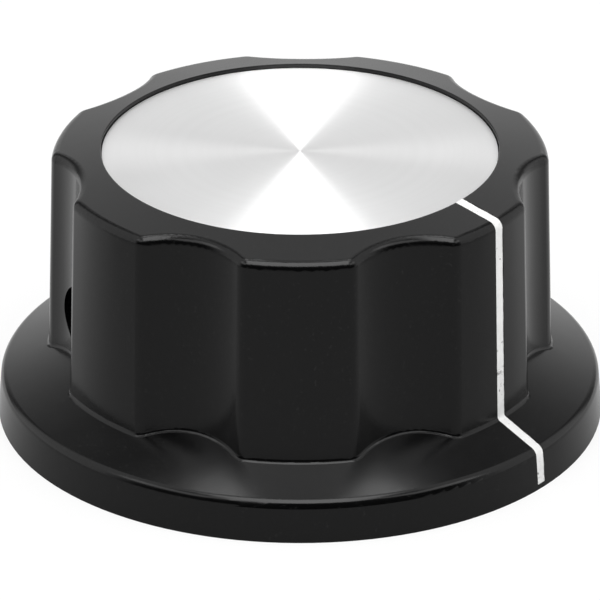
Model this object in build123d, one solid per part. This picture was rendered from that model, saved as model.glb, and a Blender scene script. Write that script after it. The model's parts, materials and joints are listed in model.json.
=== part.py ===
from build123d import *
import math
import os

# A skirted, fluted control knob for a round or flatted shaft, in millimetres.
# It stands on its skirt. The origin is in the middle of the base, +Z runs up the shaft axis,
# and the pointer line is at the front, towards -Y.

# --- Overall form ---
skirt_radius = 18.0          # at the base
knob_height = 16.8           # base to the inner edge of the top ring
grip_radius = 15.07          # over the lobes, carried down to the base
grip_draft = 1.47            # degrees, narrower at the top
skirt_edge_height = 2.46     # base to the skirt's outer top edge
skirt_edge_taper = 0.2       # how far the rim leans in over that height
skirt_slope = 23.3           # degrees, rising to the grip
ring_slope = 10.9            # degrees, the top ring falls outwards

# --- Flutes ---
flute_count = 7
flute_depth = 1.28
flute_radius = 6.1
lobe_corner_round = 0.9

# --- Rounded edges ---
top_edge_round = 0.58
skirt_edge_round = 0.6
foot_fillet = 0.25
recess_edge_round = 0.05

# --- Top disc in its recess ---
recess_radius = 11.73
disc_sink = 0.25             # disc's face below the ring's inner edge
disc_thickness = 0.8
disc_clearance = 0.04        # round the disc's edge
disc_edge_break = 0.04

# --- Hollow underside ---
rim_width = 1.8              # flat ring that the knob rests on
skirt_wall = 1.5
grip_wall = 1.5              # behind the bottom of a flute
cover_wall = 1.8             # under the disc's recess
cavity_draft = 1.0           # degrees
cavity_round = 0.6
nut_space = 4.2              # boss and ribs stop this far above the base
rib_thickness = 1.4
rib_count = 4                # one of them holds the set screw

# --- Brass bush ---
bore_radius = 3.05
bush_wall = 1.75
bush_cover = 1.9             # body material between the bush and the recess
bush_end_wall = 1.1          # closes the bore
bore_lead_in = 0.4
knurl_depth = 0.2
knurl_teeth = 40
boss_wall = 1.4

# --- Set screw ---
screw_radius = 1.45
screw_length = 5.0
screw_height = 7.0
screw_tip_gap = 0.2          # tip stands back from the bore
screw_fit = 0.05             # radial, in the bush
screw_tunnel_fit = 0.4       # radial, in the body
screw_rib_wall = 1.0
screw_tip_chamfer = 0.5
screw_head_chamfer = 0.2
slot_width = 0.5
slot_depth = 1.0
screw_flute = 4              # flutes counted from the pointer, counter-clockwise

# --- Pointer line: paint in a groove ---
line_width = 0.7
line_depth = 0.25
line_sink = 0.03             # paint's face below the surface
line_end_gap = 0.3           # bare stretch above the base
line_lobe_turn = 1.0         # degrees from the middle of its lobe to the line

# --- Worked out from the sizes above ---
pointer_angle = -90.0
pitch = 360.0 / flute_count
first_flute_angle = pointer_angle - line_lobe_turn + pitch / 2
flute_angles = [first_flute_angle + step * pitch for step in range(flute_count)]
screw_angle = flute_angles[screw_flute]
draft_slope = math.tan(math.radians(grip_draft))
skirt_rise = math.tan(math.radians(skirt_slope))
ring_fall = math.tan(math.radians(ring_slope))
skirt_top_radius = skirt_radius - skirt_edge_taper
# where the grip's side meets the skirt's slope, and where it meets the top ring
skirt_plane_z = skirt_edge_height + (skirt_top_radius - grip_radius) * skirt_rise
foot_z = skirt_plane_z / (1 - draft_slope * skirt_rise)
foot_radius = grip_radius - foot_z * draft_slope
crown_z = (knob_height - (grip_radius - recess_radius) * ring_fall) / (1 - draft_slope * ring_fall)
crown_radius = grip_radius - crown_z * draft_slope
recess_floor = knob_height - disc_sink - disc_thickness
cavity_top = recess_floor - cover_wall
cavity_radius = grip_radius - flute_depth - grip_wall
bush_top = recess_floor - bush_cover
bore_top = bush_top - bush_end_wall
bush_radius = bore_radius + bush_wall
boss_radius = bush_radius + boss_wall
tunnel_radius = screw_radius + screw_tunnel_fit
screw_rib_thickness = 2 * (tunnel_radius + screw_rib_wall)
screw_start = bore_radius + screw_tip_gap
grip_start = skirt_edge_height / 2
spare = 5.0                  # how far cutting shapes run past what they cut


def revolved(section):
    """A section drawn with X as radius and Y as height, turned about the shaft axis."""
    return revolve(Plane.XZ * section, Axis.Z)


def towards(angle):
    """A plane whose X runs outwards at an angle about the shaft axis, at the base."""
    return Plane(origin=(0, 0, 0), x_dir=(1, 0, 0), z_dir=(0, 0, 1)).rotated((0, 0, angle))


def screw_cylinder(radius, start, length):
    """A cylinder on the set screw's axis, from a distance off the shaft axis outwards."""
    across = towards(screw_angle) * Pos(start, 0, screw_height) * Rot(0, 90, 0)
    return across * Cylinder(radius, length, align=(Align.CENTER, Align.CENTER, Align.MIN))


def outer_section(inset):
    """The knob's half section through a lobe, its outline moved in by inset."""
    corners = [
        (-spare, -spare),
        (skirt_radius + spare * skirt_edge_taper / skirt_edge_height, -spare),
        (skirt_top_radius, skirt_edge_height),
        (foot_radius, foot_z),
        (crown_radius, crown_z),
        (recess_radius, knob_height),
        (-spare, knob_height),
    ]
    face = make_face(Polyline(*corners, close=True))
    rounds = {corners[2]: skirt_edge_round, corners[3]: foot_fillet, corners[4]: top_edge_round}
    for corner, radius in rounds.items():
        nearest = face.vertices().sort_by_distance((corner[0], corner[1], 0))[0]
        face = fillet(nearest, radius)
    if inset:
        face = offset(face, -inset)
    tall = knob_height + 2 * spare
    quadrant = Pos(0, line_end_gap) * Rectangle(2 * skirt_radius, tall, align=(Align.MIN, Align.MIN))
    return face & quadrant


def fluted_grip():
    """The grip, from inside the skirt up: a drafted cone with concave flutes and a sloping top."""
    side = [
        (0, grip_start),
        (grip_radius - grip_start * draft_slope, grip_start),
        (crown_radius, crown_z),
        (recess_radius, knob_height),
        (0, knob_height),
    ]
    # the cone's seam is turned into a flute, which cuts it away
    grip = Rot(0, 0, flute_angles[0]) * revolved(make_face(Polyline(*side, close=True)))
    centre = grip_radius - flute_depth + flute_radius
    for angle in flute_angles:
        lean = towards(angle) * Pos(centre, 0, 0) * Rot(0, -grip_draft, 0)
        grip -= lean * Cylinder(flute_radius, 2 * (knob_height + spare))
    corners = [
        edge for edge in grip.edges()
        if edge.bounding_box().size.Z > knob_height / 2
    ]
    grip = fillet(corners, lobe_corner_round)
    crown = [
        edge for edge in grip.edges()
        if edge.bounding_box().min.Z > knob_height / 2
        and edge.bounding_box().max.Z < knob_height - recess_edge_round
    ]
    return fillet(crown, top_edge_round)


def skirt():
    """The skirt's outer form: a nearly upright rim and a slope that rises to the axis."""
    side = [
        (0, 0),
        (skirt_radius, 0),
        (skirt_top_radius, skirt_edge_height),
        (cavity_radius, skirt_edge_height + (skirt_top_radius - cavity_radius) * skirt_rise),
        (0, skirt_edge_height + (skirt_top_radius - cavity_radius) * skirt_rise),
    ]
    face = make_face(Polyline(*side, close=True))
    rim = face.vertices().sort_by_distance((skirt_top_radius, skirt_edge_height, 0))[0]
    return revolved(fillet(rim, skirt_edge_round))


def hollow():
    """The space under the knob, less the boss and the ribs that stand in it."""
    lean = math.tan(math.radians(cavity_draft))
    drop = skirt_wall / math.cos(math.radians(skirt_slope))
    rim_inside = skirt_radius - rim_width

    def under_slope(radius):
        return skirt_edge_height + (skirt_top_radius - radius) * skirt_rise - drop

    side = [
        (0, -spare),
        (rim_inside, -spare),
        (rim_inside, under_slope(rim_inside)),
        (cavity_radius, under_slope(cavity_radius)),
        (cavity_radius - (cavity_top - under_slope(cavity_radius)) * lean, cavity_top),
        (0, cavity_top),
    ]
    face = make_face(Polyline(*side, close=True))
    corner = face.vertices().sort_by_distance((side[4][0], side[4][1], 0))[0]
    space = revolved(fillet(corner, cavity_round))
    rise = cavity_top - nut_space
    stand = (Align.CENTER, Align.CENTER, Align.MIN)
    kept = Pos(0, 0, nut_space) * Cylinder(boss_radius, rise, align=stand)
    for step in range(rib_count):
        thickness = screw_rib_thickness if step == 0 else rib_thickness
        place = towards(screw_angle + step * 360 / rib_count) * Pos(0, 0, nut_space)
        kept += place * Box(grip_radius, thickness, rise, align=(Align.MIN, Align.CENTER, Align.MIN))
    return space - kept


def pointer_slab():
    """The upright slice of space that holds the pointer line."""
    long = skirt_radius + spare - recess_radius
    tall = knob_height + spare - line_end_gap
    corner = Pos(0, -recess_radius, line_end_gap)
    return corner * Box(line_width, long, tall, align=(Align.CENTER, Align.MAX, Align.MIN))


def pointer_groove():
    return pointer_slab() - revolved(outer_section(line_depth))


def indicator_line():
    """The paint that fills the groove, a little below the surface."""
    skin = revolved(outer_section(line_sink)) - revolved(outer_section(line_depth))
    return skin & pointer_slab()


def bush_blank():
    """The bush's outside: a straight knurl that the body is moulded round."""
    points = []
    for step in range(2 * knurl_teeth):
        radius = bush_radius if step % 2 else bush_radius - knurl_depth
        turn = math.pi * step / knurl_teeth
        points.append((radius * math.cos(turn), radius * math.sin(turn)))
    return Pos(0, 0, nut_space) * extrude(make_face(Polyline(*points, close=True)), bush_top - nut_space)


def shaft_bushing():
    mouth = nut_space + bore_lead_in
    side = [
        (0, nut_space - spare),
        (bore_radius + bore_lead_in, nut_space - spare),
        (bore_radius + bore_lead_in, nut_space),
        (bore_radius, mouth),
        (bore_radius, bore_top),
        (0, bore_top),
    ]
    bore = revolved(make_face(Polyline(*side, close=True)))
    return bush_blank() - bore - screw_cylinder(screw_radius + screw_fit, 0, bush_radius + spare)


def cap_disc():
    disc = Cylinder(
        recess_radius - disc_clearance, disc_thickness, align=(Align.CENTER, Align.CENTER, Align.MIN)
    )
    disc = chamfer(disc.edges().group_by(Axis.Z)[-1], disc_edge_break)
    return Pos(0, 0, recess_floor) * disc


def set_screw():
    """A headless screw with a slot outside and a chamfered tip towards the shaft."""
    side = [
        (0, 0),
        (screw_radius - screw_tip_chamfer, 0),
        (screw_radius, screw_tip_chamfer),
        (screw_radius, screw_length - screw_head_chamfer),
        (screw_radius - screw_head_chamfer, screw_length),
        (0, screw_length),
    ]
    screw = revolved(make_face(Polyline(*side, close=True)))
    slot = Pos(0, 0, screw_length - slot_depth) * Box(
        slot_width, 2 * screw_radius + spare, spare, align=(Align.CENTER, Align.CENTER, Align.MIN)
    )
    return towards(screw_angle) * Pos(screw_start, 0, screw_height) * Rot(0, 90, 0) * (screw - slot)


def body():
    """The one-piece moulding: grip, top ring, skirt, boss and ribs."""
    outside = fluted_grip() + skirt()
    foot = [
        edge for edge in outside.edges()
        if edge.bounding_box().min.Z > skirt_edge_height + skirt_edge_round
        and edge.bounding_box().max.Z < knob_height / 2
    ]
    outside = fillet(foot, foot_fillet)
    recess = Pos(0, 0, recess_floor) * Cylinder(
        recess_radius, knob_height, align=(Align.CENTER, Align.CENTER, Align.MIN)
    )
    outside -= recess
    lip = [
        edge for edge in outside.edges()
        if edge.bounding_box().min.Z > knob_height - recess_edge_round
    ]
    outside = fillet(lip, recess_edge_round)
    return outside - hollow() - bush_blank() - pointer_groove() - screw_cylinder(
        tunnel_radius, bore_radius, skirt_radius
    )


os.makedirs("parts", exist_ok=True)
pieces = {
    "body": body(),
    "cap_disc": cap_disc(),
    "shaft_bushing": shaft_bushing(),
    "set_screw": set_screw(),
    "indicator_line": indicator_line(),
}
for name, piece in pieces.items():
    export_step(piece, f"parts/{name}.step")
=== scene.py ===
import json
import math

import bpy
from bpy.props import FloatProperty, FloatVectorProperty, IntProperty, PointerProperty
from mathutils import Matrix, Vector, noise


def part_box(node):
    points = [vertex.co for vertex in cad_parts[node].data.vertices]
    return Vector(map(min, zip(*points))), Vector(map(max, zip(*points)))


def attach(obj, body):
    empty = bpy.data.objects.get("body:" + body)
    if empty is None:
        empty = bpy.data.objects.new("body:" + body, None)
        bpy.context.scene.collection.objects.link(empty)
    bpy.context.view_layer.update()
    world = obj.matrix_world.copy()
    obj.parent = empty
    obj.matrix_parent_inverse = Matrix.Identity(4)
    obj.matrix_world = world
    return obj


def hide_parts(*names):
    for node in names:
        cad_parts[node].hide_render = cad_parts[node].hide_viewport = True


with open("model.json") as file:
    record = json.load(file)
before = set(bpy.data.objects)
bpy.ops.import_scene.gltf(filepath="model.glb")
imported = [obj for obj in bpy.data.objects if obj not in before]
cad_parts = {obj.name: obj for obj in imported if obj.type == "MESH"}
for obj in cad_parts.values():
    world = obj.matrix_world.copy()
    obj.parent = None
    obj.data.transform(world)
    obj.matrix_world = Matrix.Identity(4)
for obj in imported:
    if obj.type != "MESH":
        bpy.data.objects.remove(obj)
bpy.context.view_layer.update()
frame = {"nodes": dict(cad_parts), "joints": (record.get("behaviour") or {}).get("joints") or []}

bl_info = {
    "name": "Fluted control knob",
    "version": (1, 0, 0),
    "blender": (4, 5, 0),
    "location": "View3D > Sidebar > Knob",
    "description": "Finishes the pieces of a skirted, fluted control knob and sets its studio",
    "category": "Object",
}

MM = 0.001
DISC_LOW, DISC_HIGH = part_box("cap_disc")
LINE_LOW, LINE_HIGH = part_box("indicator_line")
SCREW_AXIS = Vector(frame["joints"][0]["axis"]).normalized()
WHITE = (1.0, 1.0, 1.0, 1.0)
FINE = 0.0001 * MM                           # a cut nearer to a point than this takes the point
MERGE = 0.0005 * MM                          # points nearer than this are one point
THREAD_MERGE = 0.002 * MM                    # the same, where one turn of the thread meets the next

PHENOLIC_IOR = 1.39
CAVITY_RADIUS = (12.9 * MM, 12.6 * MM)       # where the gloss side gives way to the core side, going in
CAVITY_HEIGHT = (14.6 * MM, 14.2 * MM)       # the same, going down

PAINT_EDGE = 0.9                             # share of the line's half width past which a point is on its edge
WANDER_COARSE, WANDER_FINE = 0.6 * MM, 0.2 * MM

THREAD_DEPTH = 0.54                          # share of the pitch
THREAD_STEPS = 40                            # sides of one turn of the thread
BLANK_SIDES = 48
BLANK_MARGIN = 1.001                         # keeps the blank's wall just clear of the thread's crest
ROD_MARGIN = 0.1 * MM                        # how far the rod stands past each end of the screw
TIP_CHAMFER, HEAD_CHAMFER = 0.45 * MM, 0.2 * MM
SLOT_TURN = math.radians(17)                 # keeps the slot's walls off the rod's own edges

FLOOR_SIZE = 4.0
# The floor's shade in reflections is painted: its glow for mirrored rays runs from dark at the front to lighter
# at the back.
PAINTED_FLOOR_SHADE_RAMP = (-8 * MM, 14 * MM)              # depths between which the mirrored floor goes from front to back
# Degrees from straight behind the knob, between which the surroundings change.
BACKDROP_TO_GAP, GAP_TO_WING, WING_TO_ROOM = (20, 38), (44, 54), (100, 118)
LAMPS = (
    # name, degrees round from the camera, degrees up, width and height in degrees, setting of its radiance
    ("overhead_box", 0, 68, (40, 42), "key_light"),
    ("left_box", -58, 45, (32, 18), "side_light"),
    ("right_box", 58, 45, (32, 18), "side_light"),
    ("left_spot", -141, 72, (11, 8), "spot_light"),
    ("right_spot", 141, 72, (11, 8), "spot_light"),
)


# ---------------------------------------------------------------- sizes and colours

def colour_prop(name, description, default):
    return FloatVectorProperty(
        name=name, description=description, default=default, subtype="COLOR", min=0, max=1
    )


def length_prop(name, description, default):
    return FloatProperty(name=name, description=description, default=default, unit="LENGTH", precision=5)


def angle_prop(name, description, degrees):
    return FloatProperty(name=name, description=description, default=math.radians(degrees), unit="ROTATION")


def share_prop(name, description, default):
    return FloatProperty(name=name, description=description, default=default, min=0, max=1, subtype="FACTOR")


class KnobBodySettings(bpy.types.PropertyGroup):
    colour: colour_prop("Moulding colour", "Colour of the black phenolic", (0.0018, 0.0018, 0.0019))
    dust: colour_prop("Dust colour", "Colour of the fine specks on the moulding", (0.008, 0.008, 0.008))
    roughness: share_prop("Gloss side roughness", "Roughness of the outside", 0.18)
    inner_roughness: share_prop("Core side roughness", "Roughness of the hollow underside", 0.5)
    ripple: length_prop("Ripple height", "Height of the moulding's slow ripple", 0.005 * MM)
    grain: length_prop("Grain height", "Height of the moulding's fine grain", 0.0012 * MM)


class KnobDiscSettings(bpy.types.PropertyGroup):
    colour: colour_prop("Disc colour", "Colour of the aluminium", (0.97, 0.97, 0.97))
    roughness: share_prop("Disc roughness", "Roughness along and across the turned lines", 0.36)
    anisotropy: share_prop("Disc anisotropy", "How far the turned lines stretch a reflection", 1.0)
    edge_round: length_prop("Disc edge", "Rounding of the disc's edge", 0.04 * MM)
    line_height: length_prop("Turned line height", "Height of the turned lines", 0.0008 * MM)
    segments: IntProperty(name="Disc segments", description="Sides of the disc's circle", default=192, min=32)


class KnobLineSettings(bpy.types.PropertyGroup):
    colour: colour_prop("Paint colour", "Colour of the pointer's paint", (0.86, 0.86, 0.85))
    roughness: share_prop("Paint roughness", "Roughness of the paint", 0.5)
    wander: length_prop("Edge wander", "How far the paint's edge draws back from the groove", 0.05 * MM)
    step: length_prop("Edge step", "Spacing of the points on the paint's edge", 0.16 * MM)


class KnobMetalSettings(bpy.types.PropertyGroup):
    brass: colour_prop("Brass colour", "Colour of the bush", (0.72, 0.52, 0.25))
    steel: colour_prop("Steel colour", "Colour of the oxide-black set screw", (0.16, 0.155, 0.15))
    pitch: length_prop("Thread pitch", "Pitch of the set screw's thread", 0.5 * MM)
    slot_width: length_prop("Slot width", "Width of the set screw's slot", 0.5 * MM)
    slot_depth: length_prop("Slot depth", "Depth of the set screw's slot", 1.0 * MM)
    cup_radius: length_prop("Cup radius", "Radius of the cup in the set screw's tip", 0.7 * MM)
    cup_depth: length_prop("Cup depth", "Depth of the cup in the set screw's tip", 0.3 * MM)


class KnobStageSettings(bpy.types.PropertyGroup):
    azimuth: angle_prop("Azimuth", "Camera's turn about the knob", -51.9)
    elevation: angle_prop("Elevation", "Camera's height above the horizon", 26.24)
    distance: length_prop("Distance", "Camera to the knob", 0.4656)
    focal: FloatProperty(name="Focal length", description="Lens, in millimetres", default=470.7)
    aim_height: length_prop("Aim height", "Height that the camera looks at", 6.75 * MM)
    swing_height: length_prop("Swing height", "Height that the distance is measured to", 8 * MM)
    floor_colour: colour_prop("Floor colour", "Colour of the floor", (0.9, 0.9, 0.9))
    floor_glow: share_prop("Floor glow", "Share of plain white in what the floor shows", 0.75)
    # Painted shade of the floor as mirrored rays see it: darker near the front, lighter towards the back.
    painted_floor_shade_front: share_prop("Mirrored floor, front", "How light the near floor is in a reflection", 0.31)
    painted_floor_shade_back: share_prop("Mirrored floor, back", "How light the far floor is in a reflection", 0.85)
    key_light: FloatProperty(name="Key light", description="Radiance of the overhead soft box", default=4.2)
    side_light: FloatProperty(name="Side light", description="Radiance of the side soft boxes", default=1.8)
    spot_light: FloatProperty(
        name="Spot light", description="Radiance of the two small lamps high behind the knob", default=4.5
    )
    lamp_distance: length_prop("Lamp distance", "Soft boxes to the knob", 0.5)
    backdrop_light: share_prop("Backdrop light", "Radiance of the backdrop", 0.9)
    gap_light: share_prop("Gap light", "Radiance between the backdrop and its wings", 0.2)
    wing_light: share_prop("Wing light", "Radiance of the backdrop's wings", 1.0)
    room_light: share_prop("Room light", "Radiance of the room on the camera's side", 0.02)


# ---------------------------------------------------------------- modelling by hand

def settings(kind):
    return getattr(bpy.context.scene, "knob_" + kind)


def deselect_all():
    if bpy.context.object and bpy.context.object.mode != "OBJECT":
        bpy.ops.object.mode_set(mode="OBJECT")
    bpy.ops.object.select_all(action="DESELECT")


def make_active(piece):
    deselect_all()
    piece.select_set(True)
    bpy.context.view_layer.objects.active = piece


def new_piece(name, add, **values):
    """Adds a primitive with nothing else selected, and names it."""
    deselect_all()
    add(**values)
    piece = bpy.context.object
    piece.name = name
    piece.data.name = name
    return piece


def select_in_edit(piece, mode, wanted):
    """Enters edit mode with only the wanted vertices, edges or faces selected."""
    make_active(piece)
    bpy.ops.object.mode_set(mode="EDIT")
    bpy.ops.mesh.select_mode(type=mode)
    bpy.ops.mesh.select_all(action="DESELECT")
    bpy.ops.object.mode_set(mode="OBJECT")
    parts = {"VERT": piece.data.vertices, "EDGE": piece.data.edges, "FACE": piece.data.polygons}[mode]
    for part in parts:
        part.select = bool(wanted(part))
    bpy.ops.object.mode_set(mode="EDIT")


def drawn_line(name, points):
    """A chain of edges, drawn by extruding one vertex from point to point."""
    piece = new_piece(name, bpy.ops.mesh.primitive_plane_add, size=MM, location=points[0])
    bpy.ops.object.transform_apply(location=True)
    bpy.ops.object.mode_set(mode="EDIT")
    bpy.ops.mesh.select_all(action="SELECT")
    bpy.ops.mesh.merge(type="CENTER")
    for before, after in zip(points, points[1:]):
        step = Vector(after) - Vector(before)
        bpy.ops.mesh.extrude_region_move(TRANSFORM_OT_translate={"value": step})
    bpy.ops.object.mode_set(mode="OBJECT")
    return piece


def turned(name, outline, steps):
    """A solid turned about Z from an outline of (radius, height) points that starts and ends on the axis."""
    piece = drawn_line(name, [(radius, 0, height) for radius, height in outline])
    bpy.ops.object.mode_set(mode="EDIT")
    bpy.ops.mesh.select_all(action="SELECT")
    bpy.ops.mesh.spin(steps=steps, angle=2 * math.pi, center=(0, 0, 0), axis=(0, 0, 1))
    bpy.ops.mesh.select_all(action="SELECT")
    bpy.ops.mesh.remove_doubles(threshold=MERGE)
    bpy.ops.mesh.normals_make_consistent(inside=False)
    bpy.ops.object.mode_set(mode="OBJECT")
    return piece


def apply_modifier(piece, kind, **values):
    make_active(piece)
    modifier = piece.modifiers.new(kind.title(), kind)
    for key, value in values.items():
        setattr(modifier, key, value)
    bpy.ops.object.modifier_apply(modifier=modifier.name)


def must_be_closed(piece):
    """Stops the run if the modelling left a piece empty or open."""
    uses = {}
    for face in piece.data.polygons:
        for key in face.edge_keys:
            uses[key] = uses.get(key, 0) + 1
    if not uses or any(count != 2 for count in uses.values()):
        raise RuntimeError(piece.name + " is empty or isn't closed")


def smooth(piece, angle=30):
    make_active(piece)
    bpy.ops.object.shade_smooth_by_angle(angle=math.radians(angle))


def rounded_corner(centre, radius, start, end, points=6):
    """Points of an arc in (radius, height), from one angle to another in degrees."""
    turns = [math.radians(start + (end - start) * k / points) for k in range(points + 1)]
    return [(centre[0] + radius * math.cos(t), centre[1] + radius * math.sin(t)) for t in turns]


# ---------------------------------------------------------------- materials

class Finish:
    """A material's node tree, with short ways to add and join nodes."""

    def __init__(self, name):
        self.material = bpy.data.materials.new(name)
        self.material.use_nodes = True
        self.tree = self.material.node_tree
        self.shader = self.tree.nodes["Principled BSDF"]
        self.output = self.tree.nodes["Material Output"]
        self.place = self.add("ShaderNodeTexCoord").outputs["Object"]

    @classmethod
    def of_world(cls, world):
        """The same short ways, on a world's node tree."""
        finish = cls.__new__(cls)
        finish.tree = world.node_tree
        return finish

    def add(self, kind, **values):
        node = self.tree.nodes.new(kind)
        for key, value in values.items():
            setattr(node, key, value)
        return node

    def join(self, output, socket):
        self.tree.links.new(output, socket)

    def feed(self, value, socket):
        if isinstance(value, bpy.types.NodeSocket):
            self.join(value, socket)
        else:
            socket.default_value = value

    def math(self, operation, first, second=0.0):
        node = self.add("ShaderNodeMath", operation=operation)
        for value, socket in zip((first, second), node.inputs):
            self.feed(value, socket)
        return node.outputs[0]

    def vector_math(self, operation, first, second=(0.0, 0.0, 0.0)):
        node = self.add("ShaderNodeVectorMath", operation=operation)
        self.feed(first, node.inputs[0])
        self.feed(second, node.inputs[1])
        return node.outputs["Value" if operation in ("LENGTH", "DOT_PRODUCT") else "Vector"]

    def noise(self, size, detail=2.0):
        """Noise whose features are about size metres across."""
        node = self.add("ShaderNodeTexNoise")
        self.join(self.place, node.inputs["Vector"])
        node.inputs["Scale"].default_value = 1 / size
        node.inputs["Detail"].default_value = detail
        node.inputs["Roughness"].default_value = 0.5
        return node.outputs["Fac"]

    def ring_noise(self, radius, width):
        """Noise that depends on a radius alone, in rings about width metres wide."""
        node = self.add("ShaderNodeTexNoise", noise_dimensions="1D")
        self.join(self.math("DIVIDE", radius, width), node.inputs["W"])
        node.inputs["Scale"].default_value = 1.0
        node.inputs["Detail"].default_value = 2.0
        return node.outputs["Fac"]

    def ramp(self, value, low, high, start=0.0, end=1.0):
        node = self.add("ShaderNodeMapRange", clamp=True)
        self.feed(value, node.inputs["Value"])
        for socket, number in zip(("From Min", "From Max", "To Min", "To Max"), (low, high, start, end)):
            self.feed(number, node.inputs[socket])
        return node.outputs["Result"]

    def mix(self, share, first, second):
        node = self.add("ShaderNodeMix", data_type="RGBA")
        self.feed(share, node.inputs["Factor"])
        self.feed(first, node.inputs["A"])
        self.feed(second, node.inputs["B"])
        return node.outputs["Result"]

    def bump(self, height, distance, below=None):
        """Bump whose full swing of height, from 0 to 1, is distance metres."""
        node = self.add("ShaderNodeBump")
        self.join(height, node.inputs["Height"])
        node.inputs["Distance"].default_value = distance
        node.inputs["Strength"].default_value = 1.0
        if below:
            self.join(below, node.inputs["Normal"])
        return node.outputs["Normal"]

    def radius(self):
        """Distance from the shaft axis."""
        node = self.add("ShaderNodeMapping")
        self.join(self.place, node.inputs["Vector"])
        node.inputs["Scale"].default_value = (1, 1, 0)
        return self.vector_math("LENGTH", node.outputs["Vector"])

    def height(self):
        node = self.add("ShaderNodeSeparateXYZ")
        self.join(self.place, node.inputs[0])
        return node.outputs["Z"]

    def set(self, **values):
        for key, value in values.items():
            self.feed(value, self.shader.inputs[key.replace("_", " ")])


def opaque(colour):
    return (*colour, 1.0)


def wear(piece, finish):
    """Gives a piece its finish and nothing else."""
    piece.data.materials.clear()
    piece.data.materials.append(finish.material)


def phenolic():
    """Black phenolic: a soft gloss with a slow ripple, a fine grain, faint specks, and a duller core side."""
    own = settings("body")
    finish = Finish("black_phenolic")
    ripple = finish.noise(2.2 * MM, detail=1.0)
    grain = finish.noise(0.09 * MM, detail=3.0)
    pores = finish.noise(0.16 * MM, detail=0.0)
    cavity = finish.math(
        "MULTIPLY",
        finish.ramp(finish.radius(), *CAVITY_RADIUS),
        finish.ramp(finish.height(), *CAVITY_HEIGHT),
    )
    cloud = finish.noise(3.5 * MM, detail=3.0)
    speck = finish.ramp(pores, 0.74, 0.78)
    finish.set(
        Base_Color=finish.mix(speck, opaque(own.colour), opaque(own.dust)),
        Roughness=finish.math(
            "ADD",
            finish.ramp(cavity, 0, 1, own.roughness, own.inner_roughness),
            finish.ramp(cloud, 0.3, 0.7, -0.03, 0.03),
        ),
        IOR=PHENOLIC_IOR,
        Normal=finish.bump(grain, own.grain, finish.bump(ripple, own.ripple)),
    )
    return finish


def spun_aluminium():
    """Aluminium turned on a lathe: fine rings that stretch each reflection across them."""
    own = settings("disc")
    finish = Finish("spun_aluminium")
    radius = finish.radius()
    rings = finish.ring_noise(radius, 0.02 * MM)
    bands = finish.ring_noise(radius, 0.5 * MM)
    smear = finish.noise(4 * MM, detail=2.0)
    tangent = finish.add("ShaderNodeTangent", direction_type="RADIAL", axis="Z")
    finish.set(
        Base_Color=finish.mix(
            finish.ramp(bands, 0.35, 0.65, 0.0, 0.2),
            opaque(own.colour),
            opaque([c * 0.93 for c in own.colour]),
        ),
        Metallic=1.0,
        Roughness=finish.math(
            "ADD",
            finish.ramp(rings, 0.3, 0.7, own.roughness - 0.02, own.roughness + 0.02),
            finish.ramp(smear, 0.3, 0.7, -0.01, 0.01),
        ),
        Anisotropic=own.anisotropy,
        Anisotropic_Rotation=0.25,
        Tangent=tangent.outputs["Tangent"],
        Normal=finish.bump(rings, own.line_height),
    )
    return finish


def pointer_paint():
    """White paint wiped into the groove: matt, a little uneven, with a few dark specks."""
    own = settings("line")
    finish = Finish("pointer_paint")
    specks = finish.noise(0.22 * MM, detail=1.0)
    uneven = finish.noise(0.5 * MM, detail=3.0)
    colour = finish.mix(
        finish.ramp(uneven, 0.4, 0.7, 0.0, 0.5), opaque(own.colour), opaque([c * 0.85 for c in own.colour])
    )
    finish.set(
        Base_Color=finish.mix(finish.ramp(specks, 0.68, 0.76, 0.0, 0.8), colour, (0.12, 0.12, 0.12, 1)),
        Roughness=own.roughness,
        Normal=finish.bump(uneven, 0.02 * MM),
    )
    return finish


def turned_brass():
    """Brass with turned rings on its end and a dulled, slightly stained surface."""
    own = settings("metal")
    finish = Finish("turned_brass")
    rings = finish.ring_noise(finish.radius(), 0.04 * MM)
    stain = finish.noise(1.5 * MM, detail=4.0)
    finish.set(
        Base_Color=finish.mix(
            finish.ramp(stain, 0.45, 0.75, 0.0, 0.7), opaque(own.brass), opaque([c * 0.6 for c in own.brass])
        ),
        Metallic=1.0,
        Roughness=finish.ramp(stain, 0.3, 0.7, 0.22, 0.4),
        Normal=finish.bump(rings, 0.004 * MM),
    )
    return finish


def oxide_steel():
    """Steel with a dark oxide finish, worn a little brighter in places."""
    own = settings("metal")
    finish = Finish("oxide_steel")
    worn = finish.noise(0.5 * MM, detail=4.0)
    grain = finish.noise(0.05 * MM, detail=2.0)
    finish.set(
        Base_Color=finish.mix(
            finish.ramp(worn, 0.55, 0.75, 0.0, 0.6), opaque(own.steel), opaque([c * 2.2 for c in own.steel])
        ),
        Metallic=1.0,
        Roughness=finish.ramp(worn, 0.3, 0.7, 0.42, 0.3),
        Normal=finish.bump(grain, 0.002 * MM),
    )
    return finish


# ---------------------------------------------------------------- pieces

class KNOB_OT_moulded_body(bpy.types.Operator):
    """Give the moulded body its black phenolic finish"""

    bl_idname = "knob.moulded_body"
    bl_label = "Moulded body"

    def execute(self, context):
        body = frame["nodes"]["body"]
        wear(body, phenolic())
        return {"FINISHED"}


class KNOB_OT_spun_disc(bpy.types.Operator):
    """Turn the aluminium disc, with a rounded edge, and give it its turned finish"""

    bl_idname = "knob.spun_disc"
    bl_label = "Spun disc"

    def execute(self, context):
        own = settings("disc")
        radius = (DISC_HIGH.x - DISC_LOW.x) / 2
        top, bottom = DISC_HIGH.z, DISC_LOW.z
        round_at = (radius - own.edge_round, top - own.edge_round)
        outline = [(0, bottom), (radius * 0.5, bottom), (radius, bottom)]
        outline += rounded_corner(round_at, own.edge_round, 0, 90)
        outline += [(radius * share, top) for share in (0.75, 0.5, 0.25, 0.1)]
        outline.append((0, top))
        disc = turned("spun_disc", outline, own.segments)
        must_be_closed(disc)
        smooth(disc)
        wear(disc, spun_aluminium())
        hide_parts("cap_disc")
        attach(disc, "knob")
        return {"FINISHED"}


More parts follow.
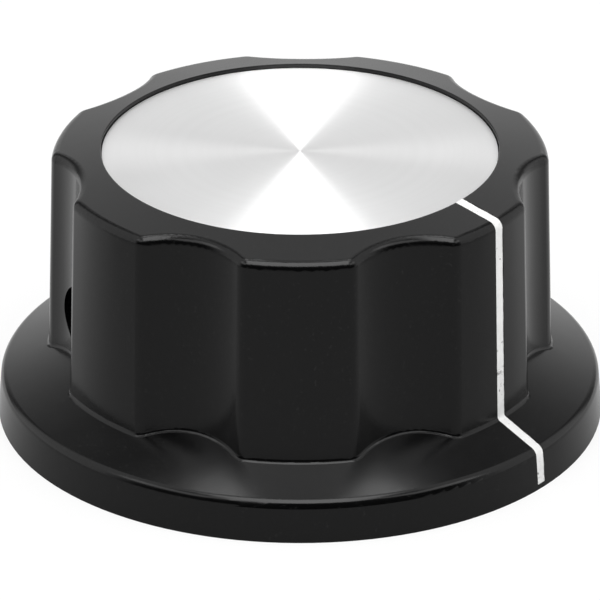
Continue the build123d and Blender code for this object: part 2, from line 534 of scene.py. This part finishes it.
class KNOB_OT_pointer_line(bpy.types.Operator):
    """Make the pointer's paint, with an edge that draws back unevenly from its groove"""

    bl_idname = "knob.pointer_line"
    bl_label = "Pointer line"

    def execute(self, context):
        own = settings("line")
        line = frame["nodes"]["indicator_line"].copy()
        line.data = line.data.copy()
        line.name = "pointer_paint"
        for key in list(line.keys()):
            del line[key]
        line.parent = None
        context.collection.objects.link(line)
        select_in_edit(line, "VERT", lambda vertex: True)
        bpy.ops.mesh.remove_doubles(threshold=MERGE)
        self.cut_across(own.step)
        bpy.ops.object.mode_set(mode="OBJECT")
        half = (LINE_HIGH.x - LINE_LOW.x) / 2
        for vertex in line.data.vertices:
            side = math.copysign(1, vertex.co.x)
            if abs(vertex.co.x) > half * PAINT_EDGE:
                at = Vector((side * 7, vertex.co.y / WANDER_COARSE, vertex.co.z / WANDER_COARSE))
                fine = Vector((side * 3, vertex.co.y / WANDER_FINE, vertex.co.z / WANDER_FINE))
                draw = 0.5 + 0.5 * noise.noise(at) + 0.35 * noise.noise(fine)
                vertex.co.x -= side * own.wander * max(0.0, draw)
        must_be_closed(line)
        line.data.normals_split_custom_set([(0, 0, 0)] * len(line.data.loops))
        smooth(line, 35)
        wear(line, pointer_paint())
        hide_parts("indicator_line")
        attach(line, "knob")
        return {"FINISHED"}

    def cut_across(self, step):
        """Cuts the paint across its run, so that its edge has points to move."""
        rise = LINE_HIGH.z - LINE_LOW.z
        run = LINE_HIGH.y - LINE_LOW.y
        for length, normal in ((rise, Vector((0, 0, 1))), (run, Vector((0, 1, 0)))):
            count = int(length / step)
            for k in range(1, count):
                bpy.ops.mesh.select_all(action="SELECT")
                bpy.ops.mesh.bisect(
                    plane_co=LINE_LOW + normal * (length * k / count), plane_no=normal, threshold=FINE
                )


class KNOB_OT_set_screw(bpy.types.Operator):
    """Model the headless set screw with its thread, slot and cup point"""

    bl_idname = "knob.set_screw"
    bl_label = "Set screw"

    def execute(self, context):
        own = settings("metal")
        along = [v.co.dot(SCREW_AXIS) for v in frame["nodes"]["set_screw"].data.vertices]
        low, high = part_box("set_screw")
        crest = (high.z - low.z) / 2
        start, length = min(along), max(along) - min(along)
        screw = self.threaded_rod(own, crest, length)
        blank = self.blank(own, crest, length)
        apply_modifier(screw, "BOOLEAN", operation="INTERSECT", object=blank, solver="EXACT")
        bpy.data.objects.remove(blank)
        slot = new_piece(
            "slot_cutter", bpy.ops.mesh.primitive_cube_add, size=1,
            location=(0, 0, length), scale=(own.slot_width, 4 * crest, 2 * own.slot_depth),
            rotation=(0, 0, SLOT_TURN),
        )
        apply_modifier(screw, "BOOLEAN", operation="DIFFERENCE", object=slot, solver="EXACT")
        bpy.data.objects.remove(slot)
        select_in_edit(screw, "VERT", lambda vertex: True)
        bpy.ops.mesh.remove_doubles(threshold=MERGE)
        bpy.ops.object.mode_set(mode="OBJECT")
        must_be_closed(screw)
        middle = (low + high) / 2
        foot = middle - SCREW_AXIS * (middle.dot(SCREW_AXIS) - start)
        turn = Vector((0, 0, 1)).rotation_difference(SCREW_AXIS).to_matrix().to_4x4()
        screw.matrix_world = Matrix.Translation(foot) @ turn
        make_active(screw)
        bpy.ops.object.transform_apply(location=True, rotation=True, scale=True)
        smooth(screw, 25)
        wear(screw, oxide_steel())
        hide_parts("set_screw")
        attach(screw, "screw")
        return {"FINISHED"}

    def threaded_rod(self, own, crest, length):
        """A rod with a helical thread, longer than the screw and closed at both ends."""
        depth = THREAD_DEPTH * own.pitch
        flat = own.pitch / 8
        low = -2 * own.pitch
        outline = [
            (crest - depth, 0, low),
            (crest, 0, low + own.pitch / 2 - flat / 2),
            (crest, 0, low + own.pitch / 2 + flat / 2),
            (crest - depth, 0, low + own.pitch - flat),
            (crest - depth, 0, low + own.pitch),
        ]
        rod = drawn_line("set_screw_thread", outline)
        turns = int(length / own.pitch) + 4
        apply_modifier(
            rod, "SCREW", angle=2 * math.pi, screw_offset=own.pitch, iterations=turns,
            steps=THREAD_STEPS, render_steps=THREAD_STEPS,
        )
        select_in_edit(rod, "VERT", lambda vertex: True)
        bpy.ops.mesh.remove_doubles(threshold=THREAD_MERGE)
        bpy.ops.mesh.normals_make_consistent(inside=False)
        for height, clear in ((-ROD_MARGIN, "clear_inner"), (length + ROD_MARGIN, "clear_outer")):
            bpy.ops.mesh.select_all(action="SELECT")
            bpy.ops.mesh.bisect(
                plane_co=(0, 0, height), plane_no=(0, 0, 1), use_fill=True, threshold=FINE, **{clear: True}
            )
        bpy.ops.mesh.select_all(action="SELECT")
        bpy.ops.mesh.normals_make_consistent(inside=False)
        bpy.ops.object.mode_set(mode="OBJECT")
        return rod

    def blank(self, own, crest, length):
        """The screw's outer form without its thread: a cup point and chamfered ends."""
        outline = [
            (0, own.cup_depth),
            (own.cup_radius, 0),
            (crest - TIP_CHAMFER, 0),
            (crest * BLANK_MARGIN, TIP_CHAMFER),
            (crest * BLANK_MARGIN, length - HEAD_CHAMFER),
            (crest - HEAD_CHAMFER, length),
            (0, length),
        ]
        return turned("screw_blank", outline, BLANK_SIDES)


class KNOB_OT_bushing(bpy.types.Operator):
    """Give the bush its turned brass finish"""

    bl_idname = "knob.bushing"
    bl_label = "Shaft bush"

    def execute(self, context):
        bush = frame["nodes"]["shaft_bushing"]
        wear(bush, turned_brass())
        return {"FINISHED"}


class KNOB_OT_stage(bpy.types.Operator):
    """Lay the pale floor, hang the lamps and place the camera"""

    bl_idname = "knob.stage"
    bl_label = "Stage"

    def execute(self, context):
        own = settings("stage")
        back = Vector((
            math.sin(own.azimuth) * math.cos(own.elevation),
            -math.cos(own.azimuth) * math.cos(own.elevation),
            math.sin(own.elevation),
        ))
        self.floor(own)
        self.world(context, own)
        self.lamps(own)
        self.camera(context, own, back)
        context.scene.view_settings.view_transform = "Standard"
        return {"FINISHED"}

    def floor(self, own):
        """Pale paper: white to the eye and shaded by the knob; where the knob mirrors it, its glow is a painted
        shade, grey and darker towards the front.
        """
        floor = new_piece("floor", bpy.ops.mesh.primitive_plane_add, size=FLOOR_SIZE)
        finish = Finish("floor_paper")
        finish.set(Base_Color=opaque(own.floor_colour), Roughness=0.9, Specular_IOR_Level=0.0)
        seen, mirrored = self.ray_kinds(finish)
        glow = finish.add("ShaderNodeEmission")
        # Painted shade for mirrored rays: the floor's glow runs from dark at the front to lighter at the back.
        depth = finish.vector_math("DOT_PRODUCT", finish.place, self.towards_back(own))
        shade = finish.ramp(depth, *PAINTED_FLOOR_SHADE_RAMP, own.painted_floor_shade_front, own.painted_floor_shade_back)
        finish.join(finish.ramp(mirrored, 0, 1, 1.0, shade), glow.inputs["Strength"])
        blend = finish.add("ShaderNodeMixShader")
        finish.join(finish.math("MULTIPLY", seen, own.floor_glow), blend.inputs["Fac"])
        finish.join(finish.shader.outputs[0], blend.inputs[1])
        finish.join(glow.outputs[0], blend.inputs[2])
        finish.join(blend.outputs[0], finish.output.inputs["Surface"])
        wear(floor, finish)

    def ray_kinds(self, finish):
        """One output that is 1 for rays that see a thing, straight or mirrored, and one for mirrored ones."""
        rays = finish.add("ShaderNodeLightPath").outputs
        mirrored = finish.math("MAXIMUM", rays["Is Glossy Ray"], rays["Is Transmission Ray"])
        return finish.math("MAXIMUM", rays["Is Camera Ray"], mirrored), mirrored

    def towards_back(self, own):
        """The level direction from the camera's side to the far side."""
        return Vector((-math.sin(own.azimuth), math.cos(own.azimuth), 0))

    def world(self, context, own):
        """A white backdrop behind the knob, a dim gap and a wing on each side of it, and a dark room in front."""
        world = bpy.data.worlds.new("studio")
        context.scene.world = world
        world.use_nodes = True
        room = Finish.of_world(world)
        place = room.add("ShaderNodeTexCoord").outputs["Generated"]
        behind = self.towards_back(own)
        aside = Vector((behind.y, -behind.x, 0))
        turn = room.math("ABSOLUTE", room.math(
            "ARCTAN2",
            room.vector_math("DOT_PRODUCT", place, aside),
            room.vector_math("DOT_PRODUCT", place, behind),
        ))
        to_gap, to_wing, to_room = (
            [math.radians(angle) for angle in span] for span in (BACKDROP_TO_GAP, GAP_TO_WING, WING_TO_ROOM)
        )
        backdrop = room.ramp(turn, *to_gap, own.backdrop_light, own.gap_light)
        wing = room.ramp(turn, *to_wing, 0.0, own.wing_light - own.gap_light)
        dark = room.ramp(turn, *to_room, 0.0, own.wing_light - own.room_light)
        backdrop = room.math("SUBTRACT", room.math("ADD", backdrop, wing), dark)
        rays = room.add("ShaderNodeLightPath").outputs
        shown = room.math("MAXIMUM", rays["Is Camera Ray"], room.math("MULTIPLY", backdrop, room.math(
            "MAXIMUM", rays["Is Glossy Ray"], rays["Is Transmission Ray"]
        )))
        spread = room.math("MULTIPLY", rays["Is Diffuse Ray"], backdrop)
        sky = world.node_tree.nodes["Background"]
        sky.inputs["Color"].default_value = WHITE
        room.join(room.math("MAXIMUM", shown, spread), sky.inputs["Strength"])

    def panel_lamp(self, name, own, azimuth, elevation, size, radiance):
        """A soft box that faces the knob; azimuth is measured from the camera's own, size in degrees."""
        turn = own.azimuth + math.radians(azimuth)
        rise = math.radians(elevation)
        towards = Vector((
            math.sin(turn) * math.cos(rise), -math.cos(turn) * math.cos(rise), math.sin(rise)
        ))
        data = bpy.data.lights.new(name, "AREA")
        data.shape = "RECTANGLE"
        data.size, data.size_y = (2 * own.lamp_distance * math.tan(math.radians(part / 2)) for part in size)
        data.energy = radiance * data.size * data.size_y * math.pi
        lamp = bpy.data.objects.new(name, data)
        bpy.context.collection.objects.link(lamp)
        lamp.location = towards * own.lamp_distance
        lamp.rotation_mode = "QUATERNION"
        lamp.rotation_quaternion = towards.to_track_quat("Z", "Y")
        lamp.visible_camera = False

    def lamps(self, own):
        for name, azimuth, elevation, size, light in LAMPS:
            self.panel_lamp(name, own, azimuth, elevation, size, getattr(own, light))

    def camera(self, context, own, back):
        data = bpy.data.cameras.new("camera")
        data.lens = own.focal
        data.sensor_width = 36
        camera = bpy.data.objects.new("camera", data)
        context.collection.objects.link(camera)
        camera.location = Vector((0, 0, own.swing_height)) + back * own.distance
        aim = Vector((0, 0, own.aim_height)) - camera.location
        camera.rotation_mode = "QUATERNION"
        camera.rotation_quaternion = aim.to_track_quat("-Z", "Y")
        data.clip_start, data.clip_end = 0.01, 20
        context.scene.camera = camera


class KNOB_PT_panel(bpy.types.Panel):
    bl_idname = "KNOB_PT_panel"
    bl_label = "Fluted control knob"
    bl_space_type = "VIEW_3D"
    bl_region_type = "UI"
    bl_category = "Knob"

    def draw(self, context):
        for operator, kind in zip(OPERATORS, ("body", "disc", "line", "metal", "metal", "stage")):
            box = self.layout.box()
            box.operator(operator.bl_idname)
            group = getattr(context.scene, "knob_" + kind)
            for name in group.bl_rna.properties.keys():
                if name not in ("rna_type", "name"):
                    box.prop(group, name)


OPERATORS = (
    KNOB_OT_moulded_body,
    KNOB_OT_spun_disc,
    KNOB_OT_pointer_line,
    KNOB_OT_set_screw,
    KNOB_OT_bushing,
    KNOB_OT_stage,
)
GROUPS = {
    "body": KnobBodySettings,
    "disc": KnobDiscSettings,
    "line": KnobLineSettings,
    "metal": KnobMetalSettings,
    "stage": KnobStageSettings,
}


def register():
    for kind in (*GROUPS.values(), *OPERATORS, KNOB_PT_panel):
        bpy.utils.register_class(kind)
    for name, group in GROUPS.items():
        setattr(bpy.types.Scene, "knob_" + name, PointerProperty(type=group))


def unregister():
    for name in GROUPS:
        delattr(bpy.types.Scene, "knob_" + name)
    for kind in reversed((*GROUPS.values(), *OPERATORS, KNOB_PT_panel)):
        bpy.utils.unregister_class(kind)


def main():
    register()
    bpy.ops.knob.moulded_body()
    bpy.ops.knob.spun_disc()
    bpy.ops.knob.pointer_line()
    bpy.ops.knob.set_screw()
    bpy.ops.knob.bushing()
    bpy.ops.knob.stage()


if __name__ == "__main__":
    main()
